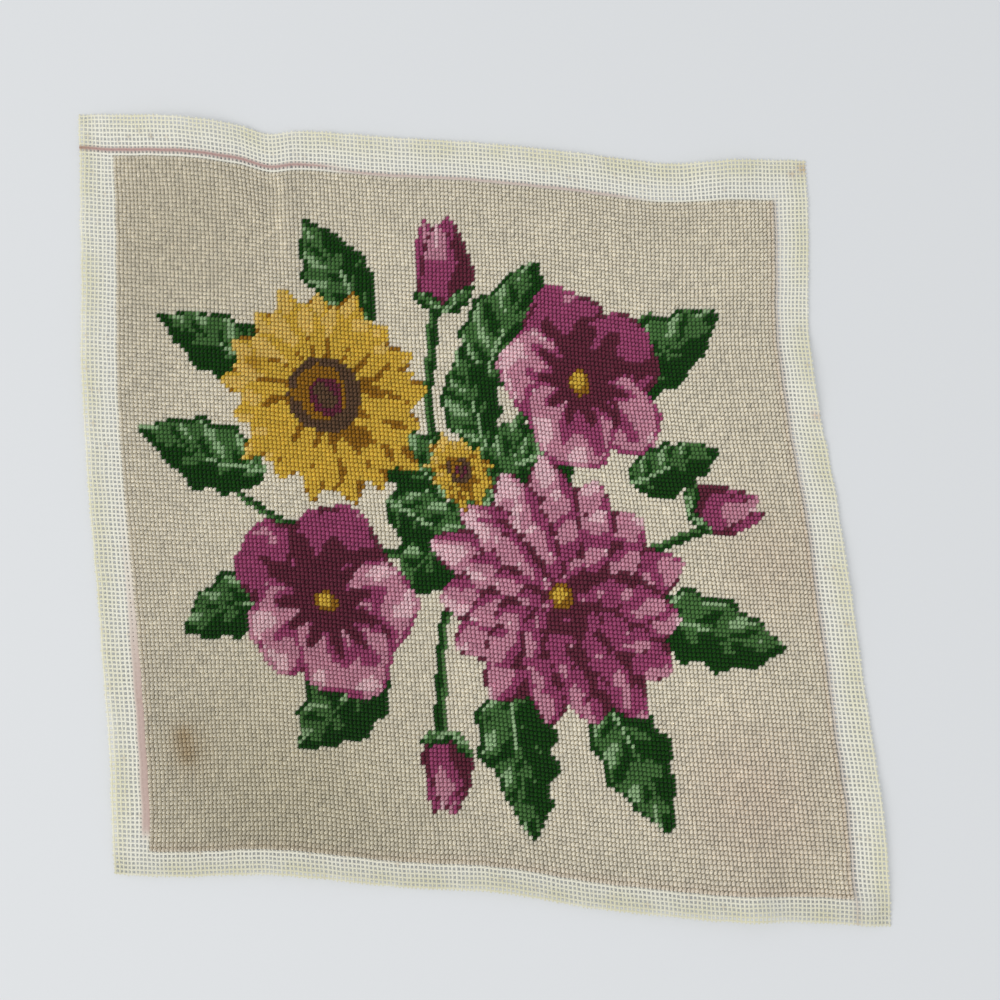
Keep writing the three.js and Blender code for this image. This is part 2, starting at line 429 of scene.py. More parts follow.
class Chart:
    """The counted chart: one wool number for each stitch, painted shape over shape.

    Places and lengths are in stitches, from the field's lower left corner.
    """

    def __init__(self):
        column, row = np.meshgrid(np.arange(FIELD_COLUMNS) + 0.5, np.arange(FIELD_ROWS) + 0.5)
        self.x = column + STRAY * ripple(column, row, *STRAY_ACROSS)
        self.y = row + STRAY * ripple(column, row, *STRAY_UP)
        self.wool = np.zeros((FIELD_ROWS, FIELD_COLUMNS), int)

    def lay(self, inside, tone, wools, steps):
        """Fills the inside with wools from dark to light, one step of tone to the next."""
        numbers = np.array([WOOL_NAMES.index(name) for name in wools])
        picked = numbers[np.searchsorted(steps, tone)]
        self.wool[inside] = picked[inside]

    def along_axis(self, at, turn, length, bend):
        """Places along an axis, as a share of its length, and across it; the axis bends by a square law."""
        x = self.x - at[0]
        y = self.y - at[1]
        along = (x * math.cos(turn) + y * math.sin(turn)) / length
        across = y * math.cos(turn) - x * math.sin(turn)
        return along, across - bend * np.clip(along, 0, BEND_END) ** 2

    def petal(self, at, turn, length, width, wools, steps, light=0.0, belly=1.0, bend=0.0, edge=0.0):
        """A petal: a sine profile along its axis, lighter to its tip and lit side, dark along its edge."""
        along, across = self.along_axis(at, turn, length, bend)
        profile = np.sin(np.pi * np.clip(along, PROFILE_START, PROFILE_END) ** belly) ** PETAL_FULLNESS
        across = across / (width / 2 * profile)
        inside = (along > 0) & (along < 1) & (np.abs(across) < 1)
        lit_side = math.copysign(PETAL_LIT, math.cos(turn - LIGHT_FROM))
        grain_turn = turn * PETAL_GRAIN_TURN + PETAL_GRAIN_START
        grain = PETAL_GRAIN * ripple(self.x, self.y, PETAL_GRAIN_WAVE, grain_turn)
        tone = PETAL_TIP * along + light + lit_side * across - PETAL_RIM * across**2 + grain
        tone = np.where(np.abs(across) > 1 - edge, DARKEST, tone)
        self.lay(inside, tone, wools, steps)

    def heart(self, at, radius, wools, steps):
        """A round heart, lighter to its middle and to the upper left."""
        x = (self.x - at[0]) / radius
        y = (self.y - at[1]) / radius
        distance = np.hypot(x, y)
        tone = 1 - distance + HEART_LIT * (y - x) + HEART_GRAIN * ripple(self.x, self.y, *HEART_GRAIN_WAVE)
        self.lay(distance < 1, tone, wools, steps)

    def leaf(self, at, turn, length, width, bend):
        """A toothed leaf: a sine profile with a pale midrib, slanting veins, a dark rim and a shaded half."""
        along, across = self.along_axis(at, turn, length, bend)
        profile = np.sin(np.pi * np.clip(along, PROFILE_START, PROFILE_END) ** LEAF_BELLY) ** LEAF_FULLNESS
        share = across / (width / 2 * profile * (1 + TOOTH_DEPTH * np.sin(TOOTH_RATE * along)))
        inside = (along > 0) & (along < 1) & (np.abs(share) < 1)
        lit_half = math.copysign(LEAF_LIT, math.cos(turn + TURN / 4 - LIGHT_FROM))
        veins = VEIN_TONE * np.sin((VEIN_COUNT * along - VEIN_SLANT * np.abs(share)) * TURN)
        veins = veins * (np.abs(share) > VEIN_START)
        grain = LEAF_GRAIN * ripple(self.x, self.y, LEAF_GRAIN_WAVE, turn)
        tone = lit_half * share - LEAF_DULL + veins + grain
        tone = np.where(np.abs(across) < MIDRIB_HALF_WIDTH, MIDRIB_TONE - MIDRIB_FADE * along, tone)
        tone = np.where(np.abs(share) > LEAF_RIM, DARKEST, tone)
        self.lay(inside, tone, GREENS, LEAF_STEPS)

    def stem(self, start, end, bow, width):
        """A stem: a straight run with a parabolic bow, dark on the right of its way."""
        x = end[0] - start[0]
        y = end[1] - start[1]
        along, across = self.along_axis(start, math.atan2(y, x), math.hypot(x, y), 0)
        across = across - bow * 4 * along * (1 - along)
        inside = (along > 0) & (along < 1) & (np.abs(across) < width / 2)
        self.lay(inside, across, STEM_GREENS, STEM_STEPS)

    def dahlia(self, at, radius, spin):
        """Five rings of petals, each ring shorter than the one under it, round a small gold heart."""
        for ring, (count, reach, width) in enumerate(DAHLIA_RINGS):
            for turn in spin + DAHLIA_RING_TURN * ring + TURN * np.arange(count) / count:
                uneven = 1 + DAHLIA_UNEVEN * math.sin(DAHLIA_UNEVEN_RATE * turn + ring)
                length = radius * reach * uneven
                broad = radius * width * reach**DAHLIA_NARROWING
                light = DAHLIA_LIGHT - DAHLIA_RING_LOSS * ring + DAHLIA_LIT * math.cos(turn - LIGHT_FROM)
                looks = {"light": light, "belly": DAHLIA_BELLY, "edge": DAHLIA_EDGE}
                self.petal(at, turn, length, broad, BLOSSOM, DAHLIA_STEPS, **looks)
        self.heart(at, radius * DAHLIA_HEART, HEART_YELLOWS, DAHLIA_HEART_STEPS)

    def sunflower(self, at, radius, spin, count):
        """Two rings of narrow gold petals round a brown disc with a darker eye."""
        for reach, shift, glow, edge in SUNFLOWER_RINGS:
            for turn in spin + TURN * (np.arange(count) + shift) / count:
                length = radius * reach * (1 + SUNFLOWER_UNEVEN * math.sin(SUNFLOWER_UNEVEN_RATE * turn))
                width = radius * SUNFLOWER_PETAL_WIDTH
                light = glow + SUNFLOWER_LIT * math.cos(turn - LIGHT_FROM)
                looks = {"light": light, "belly": SUNFLOWER_BELLY, "edge": edge}
                self.petal(at, turn, length, width, YELLOWS, SUNFLOWER_STEPS, **looks)
        eye = (at[0] + SUNFLOWER_EYE_ASIDE, at[1] - SUNFLOWER_EYE_ASIDE)
        self.heart(at, radius * SUNFLOWER_DISC, ("umber", "ochre"), SUNFLOWER_DISC_STEPS)
        self.heart(eye, radius * SUNFLOWER_EYE, ("wine", "umber"), SUNFLOWER_EYE_STEPS)

    def pansy(self, at, radius, turn):
        """Five round petals, two dark ones behind three pale ones, with dark rays and a gold eye.

        A petal is a circle with a frilled rim; its tone grows outwards from the flower's middle.
        """
        near = np.hypot(self.x - at[0], self.y - at[1]) / radius
        rays = PANSY_RAYS * np.cos(PANSY_RAY_COUNT * np.arctan2(self.y - at[1], self.x - at[0]))
        for angle, out, size, (wools, steps, blotch) in PANSY_PETALS:
            x = self.x - at[0] - out * radius * math.cos(turn + angle)
            y = self.y - at[1] - out * radius * math.sin(turn + angle)
            swing = np.arctan2(y, x)
            frill = 1 + PANSY_FRILL * np.sin(PANSY_FRILL_COUNT * swing + angle)
            distance = np.hypot(x, y) / (size * radius) * frill
            grain = PANSY_GRAIN * ripple(self.x, self.y, PANSY_GRAIN_WAVE, angle)
            tone = PANSY_OUTWARDS * near + rays + grain + PANSY_LIT * np.cos(swing - LIGHT_FROM)
            tone = np.where(near + rays < blotch, DARKEST, tone)
            tone = np.where(distance > PANSY_RIM, tone - PANSY_RIM_LOSS, tone)
            self.lay(distance < 1, tone, wools, steps)
        self.heart(at, radius * PANSY_EYE, HEART_YELLOWS, PANSY_EYE_STEPS)

    def bud(self, at, turn, length, width):
        """A closed bud: two dark side petals, a pale front petal and two small leaves at its foot."""
        long = length * BUD_SIDE_LENGTH
        broad = width * BUD_SIDE_WIDTH
        for side in (1, -1):
            lean = turn + BUD_SIDE_LEAN * side
            light = BUD_LIGHT + BUD_SIDE_LIT * side
            looks = {"light": light, "belly": BUD_BELLY, "bend": -BUD_SIDE_BEND * side}
            self.petal(at, lean, long, broad, DARK_BLOSSOM, BUD_SIDE_STEPS, **looks)
        long = length * BUD_FRONT_LENGTH
        broad = width * BUD_FRONT_WIDTH
        looks = {"light": BUD_LIGHT, "belly": BUD_BELLY, "edge": BUD_FRONT_EDGE}
        self.petal(at, turn, long, broad, BLOSSOM, BUD_FRONT_STEPS, **looks)
        for side in (1, -1):
            self.leaf(at, turn + BUD_LEAF_LEAN * side, length * BUD_LEAF_LENGTH, width * BUD_LEAF_WIDTH, 0)


# Stems of the design, in stitches: they leave one place; a row gives the end, the bow and the width
STEM_START = (86, 76)
STEMS = (
    ((83, 134), 6, 2.4),
    ((138, 134), 8, 2.2),
    ((148, 84), -6, 2.2),
    ((26, 84), 8, 2.0),
    ((76, 18), -6, 2.4),
    ((128, 26), 6, 2.0),
)

# Leaves of the design, in stitches and radians: foot, direction, length, width, bend
LEAVES = (
    ((64, 126), 2.05, 30, 16, 3),
    ((92, 112), 1.2, 36, 18, -4),
    ((122, 116), 0.42, 38, 18, 4),
    ((128, 92), 0.5, 24, 13, -3),
    ((126, 62), -0.28, 36, 18, 3),
    ((112, 44), -1.0, 36, 18, -4),
    ((92, 44), -1.62, 36, 19, 4),
    ((60, 46), -2.25, 32, 17, -3),
    ((40, 60), -2.95, 30, 15, 4),
    ((36, 88), 2.95, 32, 17, -3),
    ((38, 112), 2.6, 30, 15, 3),
    ((86, 80), 0.9, 30, 17, 3),
    ((86, 78), -2.6, 26, 17, 2),
    ((80, 84), 2.2, 24, 16, 2),
    ((92, 98), 1.9, 24, 15, -3),
    ((66, 84), -0.6, 24, 15, 3),
    ((98, 94), 0.3, 22, 13, 2),
)

# Buds of the design: foot, direction, length, width
BUDS = (
    ((84, 130), 1.62, 24, 19),
    ((76, 30), -1.75, 20, 16),
    ((140, 86), 0.12, 20, 16),
)

# Open flowers of the design: middle, radius and turn, and for a sunflower the petals of a ring
LARGE_SUNFLOWER = ((52, 108), 26, 0.1, 17)
SMALL_SUNFLOWER = ((84, 92), 9, 0.2, 11)
PANSIES = (((118, 116), 22, 1.2), ((48, 58), 23, 1.9))
DAHLIA = ((106, 64), 31, 0.3)


def flower_spray():
    """The worked design: a loose round spray of garden flowers."""
    chart = Chart()
    for end, bow, width in STEMS:
        chart.stem(STEM_START, end, bow, width)
    for at, turn, length, width, bend in LEAVES:
        chart.leaf(at, turn, length, width, bend)
    for at, turn, length, width in BUDS:
        chart.bud(at, turn, length, width)
    chart.sunflower(*LARGE_SUNFLOWER)
    for at, radius, turn in PANSIES:
        chart.pansy(at, radius, turn)
    chart.dahlia(*DAHLIA)
    chart.sunflower(*SMALL_SUNFLOWER)
    return chart.wool


def linear(hex_colour):
    """An sRGB hex colour as linear red, green and blue: a straight line in the darks, a power above."""
    value = np.array([int(hex_colour[i : i + 2], 16) for i in (0, 2, 4)]) / 255
    return np.where(value <= 0.04045, value / 12.92, ((value + 0.055) / 1.055) ** 2.4)


def tinted(colour, share, stain):
    """Colours multiplied with a tint, given as sRGB, as far as its share at each place says."""
    return colour * (1 - share[..., None] * (1 - linear(stain)))


# Faces that meet at more than this angle keep a crisp edge between them, such as a strand's top and underside
SHARP_ANGLE = math.radians(80)


def add_piece(name, points, triangles, dye, strand):
    """A mesh object from arrays of points and triangles, with its dye and strand coordinates at each point.

    Its texture map looks straight down and fills the square with the piece's own extent.
    """
    mesh = bpy.data.meshes.new(name)
    mesh.vertices.add(len(points))
    mesh.vertices.foreach_set("co", points.astype(np.float32).ravel())
    mesh.loops.add(triangles.size)
    mesh.loops.foreach_set("vertex_index", triangles.astype(np.int32).ravel())
    mesh.polygons.add(len(triangles))
    mesh.polygons.foreach_set("loop_start", np.arange(0, triangles.size, 3, dtype=np.int32))
    mesh.polygons.foreach_set("use_smooth", np.ones(len(triangles), bool))
    mesh.update(calc_edges=True)
    mesh.set_sharp_from_angle(angle=SHARP_ANGLE)
    colour = np.concatenate([dye, np.ones((len(dye), 1))], axis=1)
    dye_layer = mesh.attributes.new("dye", "FLOAT_COLOR", "POINT")
    dye_layer.data.foreach_set("color", colour.astype(np.float32).ravel())
    strand_layer = mesh.attributes.new("strand", "FLOAT_VECTOR", "POINT")
    strand_layer.data.foreach_set("vector", strand.astype(np.float32).ravel())
    low = points[:, :2].min(axis=0)
    extent = (points[:, :2].max(axis=0) - low).max()
    flat = (points[triangles.ravel(), :2] - low) / extent
    mesh.uv_layers.new(name="OFBake").uv.foreach_set("vector", flat.astype(np.float32).ravel())
    piece = bpy.data.objects.new(name, mesh)
    bpy.context.scene.collection.objects.link(piece)
    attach(piece, "root")
    return piece


def tube_walls(rings, around):
    """Triangles of a tube: two for each pair of neighbours on a ring and the same pair on the next ring."""
    place = np.arange(around)
    first = np.arange(rings - 1)[:, None] * around
    a = (first + place).ravel()
    b = (first + (place + 1) % around).ravel()
    c = b + around
    d = a + around
    return np.concatenate([np.stack([a, b, c], axis=1), np.stack([a, c, d], axis=1)])


def repeated(triangles, size, count):
    """The triangles of one strand of a number of points, repeated for each of a count of strands."""
    starts = np.arange(count) * size
    return (triangles[None] + starts[:, None, None]).reshape(-1, 3)


# One tent stitch, from its lower left hole to its upper right hole.
# A row gives a ring of the strand: its place along the stitch from -1 to 1, the half widths of its sides and
# of its crown in millimetres, and the heights of both above the sheet's underside.
RING_COLUMNS = ("along", "side", "crown", "low", "high")
STITCH_RINGS = (
    (-0.5, 0.88, 0.34, 0.6, 2.1),
    (0.0, 1.06, 0.46, 0.7, 2.7),
    (0.5, 0.88, 0.34, 0.6, 2.1),
)
# Height of its two ends, and its reach across and up the canvas, in millimetres
STITCH_END_HEIGHT = 0.4
STITCH_ACROSS = 2.4
STITCH_UP = 2.85

# How far stitches differ from each other, as the spread of a normal law: height and width as shares, slant
# as a slope, slide along the stitch and drift across it in millimetres
STITCH_SPREADS = {"plump": 0.07, "width": 0.06, "slant": 0.07, "slide": 0.09, "drift": 0.06}


def stitch_template():
    """One stitch as a closed strand: an end point, rings of two side and two crown points, another end point.

    Returns its points as (along, side, height) and its triangles.
    """
    ring = dict(zip(RING_COLUMNS, np.array(STITCH_RINGS).T))
    side = np.stack([-ring["side"], -ring["crown"], ring["crown"], ring["side"]], axis=1)
    height = np.stack([ring["low"], ring["high"], ring["high"], ring["low"]], axis=1)
    along = np.broadcast_to(ring["along"][:, None], side.shape)
    body = np.stack([along, side, height], axis=-1).reshape(-1, 3)
    points = np.concatenate([[(-1, 0, STITCH_END_HEIGHT)], body, [(1, 0, STITCH_END_HEIGHT)]])
    rings, around = side.shape
    last = len(points) - 1
    place = np.arange(around)
    after = (place + 1) % around
    walls = 1 + tube_walls(rings, around)[:, ::-1]
    first_end = np.stack([0 * place, 1 + place, 1 + after], axis=1)
    last_end = np.stack([0 * place + last, last - around + after, last - around + place], axis=1)
    return points, np.concatenate([walls, first_end, last_end])


def stitches(name, column, row, dye, random):
    """Copies of the stitch at counted places, each a little different in height, width, slant and place.

    A point runs along the stitch's diagonal and stands off it sideways; both are turned into the canvas grid.
    """
    template, triangles = stitch_template()
    count = len(column)
    along, side, height = template.T[:, None, :]
    differs = {key: spread * random.standard_normal((count, 1)) for key, spread in STITCH_SPREADS.items()}
    half = np.array([STITCH_ACROSS, STITCH_UP]) / 2
    half_length = np.hypot(*half)
    forward = half / half_length
    width = 1 + differs["width"]
    run = along * half_length + differs["slide"] * (1 - along**2)
    offset = side * width + differs["slant"] * run + differs["drift"]
    across = (FIELD_LEFT + column[:, None] + 0.5) * COLUMN_PITCH + forward[0] * run - forward[1] * offset
    up = (FIELD_BOTTOM + row[:, None] + 0.5) * ROW_PITCH + forward[1] * run + forward[0] * offset
    above = STITCH_END_HEIGHT + (height - STITCH_END_HEIGHT) * (1 + differs["plump"])
    points = sheet_points(across, up, above).reshape(-1, 3)
    luck = random.random((count, 1))
    strand = np.stack(np.broadcast_arrays(along * half_length, side * width, luck), axis=-1).reshape(-1, 3)
    faces = repeated(triangles, len(template), count)
    return add_piece(name, points, faces, np.repeat(dye, len(template), axis=0), strand)


# Marks on the wool, in stitches: place, half width, colour it is multiplied with, strength. The first four
# are stains, the two broad grey ones make the left corners darker, and the last two are pale pink.
WOOL_MARKS = (
    ((9.4, 25.5), 2.5, "c2a468", 0.5),
    ((9.8, 21.5), 2.3, "c2a468", 0.45),
    ((11.0, 22.5), 6.0, "d8c4a4", 0.25),
    ((34.3, 114.6), 2.0, "c8a850", 0.6),
    ((18.0, 146.0), 30.0, "d8d4cc", 0.4),
    ((35.0, 12.0), 34.0, "d2d0c0", 0.5),
    ((150.0, 20.0), 18.0, "ead9d8", 0.4),
    ((160.0, 75.0), 14.0, "ecdcd8", 0.3),
)

# Unevenness of the dye: spread from stitch to stitch, then bands that are flatter than they are long
DYE_SPREAD = 0.055
DYE_BAND_SHADE = 0.02
DYE_BAND_WAVE = (31, 0.2)
DYE_BAND_FLATTENING = 2.2
DYE_BROAD_WAVE = (60, 1.1)

# Tone of the wool, in stitches: darker near the rim of the field, and a painted highlight, paler, along the
# ridge of the upper crease
RIM_DARKENING = 0.06
RIM_DARKENING_REACH = 16
CREASE_PAINTED_HIGHLIGHT = 0.14
HIGHLIGHT_COLUMN = 42.5
HIGHLIGHT_HALF_WIDTH = 1.1
HIGHLIGHT_FOOT = 142
HIGHLIGHT_SOFTNESS = 4

# Faded pink print that shows on the outermost stitches: its colour, and its share at the left, right and foot
FADED_PINK = "e3c3bb"
LEFT_PINK = 0.1
LEFT_PINK_HALF_WIDTH = 1.2
LEFT_PINK_ROW = 30
LEFT_PINK_HALF_HEIGHT = 42
RIGHT_PINK = 0.175
FOOT_PINK = 0.15
PINK_HALF_WIDTH = 1.3


def wool_dye(chart, random):
    """The colour of each stitch: its wool, times the unevenness of its dye, a darkening near the rim, a
    painted highlight on the upper crease, marks and print.
    """
    palette = np.array([linear(value) for value in WOOLS.values()])
    row, column = np.mgrid[0:FIELD_ROWS, 0:FIELD_COLUMNS] + 0.5
    uneven = 1 + DYE_SPREAD * random.standard_normal(chart.shape)
    bands = 1 + DYE_BAND_SHADE * ripple(column, row * DYE_BAND_FLATTENING, *DYE_BAND_WAVE)
    bands = bands + DYE_BAND_SHADE * ripple(column, row, *DYE_BROAD_WAVE)
    rim = np.minimum.reduce([column, FIELD_COLUMNS - column, row, FIELD_ROWS - row])
    # Darker near the rim of the field
    aged = 1 - RIM_DARKENING * bump(rim, RIM_DARKENING_REACH)
    # Painted highlight: stitches on the ridge of the upper crease are made paler, where light catches the
    # ridge
    crease = bump(column - HIGHLIGHT_COLUMN, HIGHLIGHT_HALF_WIDTH) * step(row - HIGHLIGHT_FOOT, HIGHLIGHT_SOFTNESS)
    crease_highlight = 1 + CREASE_PAINTED_HIGHLIGHT * crease
    dye = palette[chart] * (uneven * bands * aged * crease_highlight)[..., None]
    for (x, y), size, colour, strength in WOOL_MARKS:
        dye = tinted(dye, strength * bump(np.hypot(column - x, row - y), size), colour)
    left = LEFT_PINK * bump(column - 0.5, LEFT_PINK_HALF_WIDTH)
    left = left * bump(row - LEFT_PINK_ROW, LEFT_PINK_HALF_HEIGHT)
    right = RIGHT_PINK * bump(FIELD_COLUMNS - column, PINK_HALF_WIDTH)
    foot = FOOT_PINK * bump(row - 0.5, PINK_HALF_WIDTH)
    return tinted(dye, np.maximum.reduce([left, right, foot]), FADED_PINK)


# Most stitches in one piece, which keeps it under 200,000 triangles
STITCHES_PER_PIECE = 8000


def wool_layer(chart, random):
    """Every stitch of the field, as one piece for each wool; a wool with many stitches is several pieces."""
    dye = wool_dye(chart, random)
    pieces = []
    for number, name in enumerate(WOOL_NAMES):
        row, column = np.nonzero(chart == number)
        parts = math.ceil(len(row) / STITCHES_PER_PIECE)
        for part, picked in enumerate(np.array_split(np.arange(len(row)), parts)):
            label = f"wool_{name}" if parts == 1 else f"wool_{name}_{part + 1}"
            tint = dye[row[picked], column[picked]]
            pieces.append(stitches(label, column[picked], row[picked], tint, random))
    return pieces, dye


# The pink line printed above the stitches, in millimetres: it runs along the second bare thread, steps down
# to the first, is fainter from there and stops
LINE_HALF_WIDTH = 1.3
LINE_STEP = 160
LINE_STEP_SOFTNESS = 8
LINE_FAINT = 0.6
LINE_FAINT_SOFTNESS = 15
LINE_END = 345
LINE_END_SOFTNESS = 6

# The pink band printed left of the stitches, in millimetres: its left side, its foot, and where it dies out
BAND_LEFT = 17.0
BAND_LEFT_SOFTNESS = 0.3
BAND_FOOT = 24.0
BAND_FOOT_SOFTNESS = 1.5
BAND_FULL_TO = 90
BAND_FADE = 80
BAND_STRENGTH = 0.72

# The pink stripe beside the right-hand stitches, in millimetres: it stops at the top of the field
STRIPE_OUT = 1.2
STRIPE_HALF_WIDTH = 2.0
STRIPE_STRENGTH = 0.3
STRIPE_END_SOFTNESS = 1.5

# Colours of the canvas, as sRGB: clean cotton, and what age, specks and print multiply it with, and how far
CLEAN_COTTON = "f1efe1"
AGED_COTTON = "dcd79c"
SPECKED_COTTON = "b48a58"
PRINTED_COTTON = "a66c74"
AGE_STRENGTH = 0.4
SPECK_STRENGTH = 0.3
PRINT_STRENGTH = 0.85

# Age shows in patches near the cut edge: distance of the worst from the edge and reach in millimetres, then
# mean and shares of a broad and a fine ripple
AGE_FROM_EDGE = 2
AGE_REACH = 10
AGE_MEAN = 0.8
AGE_BROAD_SHARE = 0.5
AGE_BROAD_WAVE = (47, 0.7)
AGE_FINE_SHARE = 0.25
AGE_FINE_WAVE = (13, 2.1)

# Specks lie where a fine and a broad ripple are both strong: the product times the gain, less the floor
SPECK_FINE_WAVE = (5.1, 0.3)
SPECK_BROAD_WAVE = (23, 1.9)
SPECK_GAIN = 2
SPECK_FLOOR = 0.55

# The foot is greyer, in millimetres: middle and reach of a bell up the sheet
FOOT_GREY = 0.12
FOOT_GREY_UP = 4
FOOT_GREY_REACH = 14

# Marks on the bare canvas, in millimetres: place, half width, colour it is multiplied with, strength
CANVAS_MARKS = (
    ((450.0, 455.0), 3.5, "b9803f", 0.5),
    ((443.0, 451.5), 2.2, "b9803f", 0.4),
    ((47.0, 447.5), 1.5, "7d5d45", 0.6),
    ((40.0, 450.5), 1.3, "7d5d45", 0.5),
    ((33.0, 447.0), 1.3, "7d5d45", 0.4),
    ((449.0, 300.0), 3.0, "d09a92", 0.4),
)


def printed_line(across, up):
    """Share of the pink line above the stitches: a bell about its thread, with steps where it changes."""
    thread = 0.5 + step(LINE_STEP - across, LINE_STEP_SOFTNESS)
    strength = LINE_FAINT + (1 - LINE_FAINT) * step(LINE_STEP - across, LINE_FAINT_SOFTNESS)
    line = strength * bump(up - (FIELD_TOP + thread) * ROW_PITCH, LINE_HALF_WIDTH)
    return line * step(LINE_END - across, LINE_END_SOFTNESS)


def printed_band(across, up):
    """Share of the pink band left of the stitches: steps at its left side and foot, and a bell to its end."""
    started = step(up - BAND_FOOT, BAND_FOOT_SOFTNESS)
    inside = step(across - BAND_LEFT, BAND_LEFT_SOFTNESS) * (across < SHEET_WIDTH / 2)
    return inside * started * bump(np.maximum(up - BAND_FULL_TO, 0), BAND_FADE)


def printed_stripe(across, up):
    """Share of the pink stripe right of the stitches: a bell across it and a step at the top of the field."""
    outwards = across - FIELD_RIGHT * COLUMN_PITCH
    below_top = step(FIELD_TOP * ROW_PITCH - up, STRIPE_END_SOFTNESS)
    return bump(outwards - STRIPE_OUT, STRIPE_HALF_WIDTH) * below_top


def canvas_tint(across, up):
    """Colour of the canvas at a place: ivory cotton, times its age, specks, marks, greyer foot and print."""
    patches = AGE_MEAN + AGE_BROAD_SHARE * ripple(across, up, *AGE_BROAD_WAVE)
    patches = patches + AGE_FINE_SHARE * ripple(across, up, *AGE_FINE_WAVE)
    aged = np.clip(bump(edge_distance(across, up) - AGE_FROM_EDGE, AGE_REACH) * patches, 0, 1)
    specks = ripple(across, up, *SPECK_FINE_WAVE) * ripple(across, up, *SPECK_BROAD_WAVE)
    specks = np.clip(specks * SPECK_GAIN - SPECK_FLOOR, 0, 1)
    pink = BAND_STRENGTH * printed_band(across, up) + STRIPE_STRENGTH * printed_stripe(across, up)
    pink = np.clip(printed_line(across, up) + pink, 0, 1)
    tint = tinted(linear(CLEAN_COTTON), AGE_STRENGTH * aged, AGED_COTTON)
    tint = tinted(tint, SPECK_STRENGTH * specks, SPECKED_COTTON)
    for (x, y), size, colour, strength in CANVAS_MARKS:
        tint = tinted(tint, strength * bump(np.hypot(across - x, up - y), size), colour)
    tint = tint * (1 - FOOT_GREY * bump(up - FOOT_GREY_UP, FOOT_GREY_REACH))[..., None]
    return tinted(tint, PRINT_STRENGTH * pink, PRINTED_COTTON)


# The canvas thread, in millimetres: half its width and height, its middle above the sheet's underside, and
# how far it weaves up and down; then the sides of its section
THREAD_HALF_WIDTH = 0.51
THREAD_HALF_HEIGHT = 0.21
THREAD_MIDDLE = 0.34
THREAD_WEAVE = 0.1
THREAD_SIDES = 6

# Cut ends, in millimetres: how far they stay inside the last cell, how far they fray, and the outward share
CUT_BACK = 0.3
FRAY = 0.6
FRAY_OUTWARD = 0.6

# How far threads differ, as the spread of a normal law: wander at a crossing and of a whole thread in
# millimetres, thickness as a share
CROSSING_WANDER = 0.07
THREAD_WANDER = 0.08
THREAD_SPREAD = 0.07

# Print swells the thread: by this share where the band is full, and by a part of it on the line
CLOG_SWELL = 1.5
LINE_CLOG = 0.6

# Crossings that a margin thread runs on under the stitches
TUCK = 1


def thread_faces(rings):
    """Triangles of one thread: the wall between its rings, and a fan over each of its cut ends."""
    fan = np.arange(1, THREAD_SIDES - 1)
    first_end = np.stack([0 * fan, fan + 1, fan], axis=1)
    last_end = (rings - 1) * THREAD_SIDES + np.stack([0 * fan, fan, fan + 1], axis=1)
    return np.concatenate([tube_walls(rings, THREAD_SIDES), first_end, last_end])


def thread_run(number, first, last, upright, random):
    """Parallel canvas threads from one crossing to another, woven over and under: closed six-sided tubes.

    Each tube's middle rises over one crossing and dips under the next; its ends run past the last crossing.
    Returns points, triangles, colours and strand coordinates.
    """
    count = len(number)
    pitch, spacing = (COLUMN_PITCH, ROW_PITCH) if upright else (ROW_PITCH, COLUMN_PITCH)
    crossing = np.arange(first - 1, last + 1)
    rings = len(crossing)
    run = np.repeat(((crossing + 0.5) * spacing)[None], count, axis=0)
    run[:, 0] = first * spacing + CUT_BACK + FRAY * (random.random(count) - FRAY_OUTWARD)
    run[:, -1] = last * spacing - CUT_BACK - FRAY * (random.random(count) - FRAY_OUTWARD)
    over = np.where((number[:, None] + crossing[None]) % 2 == 0, 1, -1) * (1 if upright else -1)
    middle = THREAD_MIDDLE + THREAD_WEAVE * over
    wander = CROSSING_WANDER * random.standard_normal(run.shape)
    wander = wander + THREAD_WANDER * random.standard_normal((count, 1))
    centre = (number[:, None] + 0.5) * pitch + wander
    thick = 1 + THREAD_SPREAD * random.standard_normal((count, 1))
    centre_across, centre_up = (centre, run) if upright else (run, centre)
    clogged = printed_band(centre_across, centre_up)
    clogged = np.maximum(clogged, LINE_CLOG * printed_line(centre_across, centre_up))
    thick = thick * (1 + CLOG_SWELL * clogged)
    angle = TURN * np.arange(THREAD_SIDES) / THREAD_SIDES
    sideways = centre[..., None] + (THREAD_HALF_WIDTH * thick)[..., None] * np.cos(angle)
    above = middle[..., None] + THREAD_HALF_HEIGHT * np.sin(angle)
    lengthways = np.repeat(run[..., None], THREAD_SIDES, axis=2)
    across, up = (sideways, lengthways) if upright else (lengthways, sideways)
    points = sheet_points(across, up, above).reshape(-1, 3)
    one = thread_faces(rings)
    outward = one[:, ::-1] if upright else one
    luck = np.broadcast_to(random.random((count, 1, 1)), lengthways.shape)
    strand = np.stack([lengthways, np.broadcast_to(angle, lengthways.shape), luck], axis=-1).reshape(-1, 3)
    tint = canvas_tint(across, up).reshape(-1, 3)
    return points, repeated(outward, rings * THREAD_SIDES, count), tint, strand


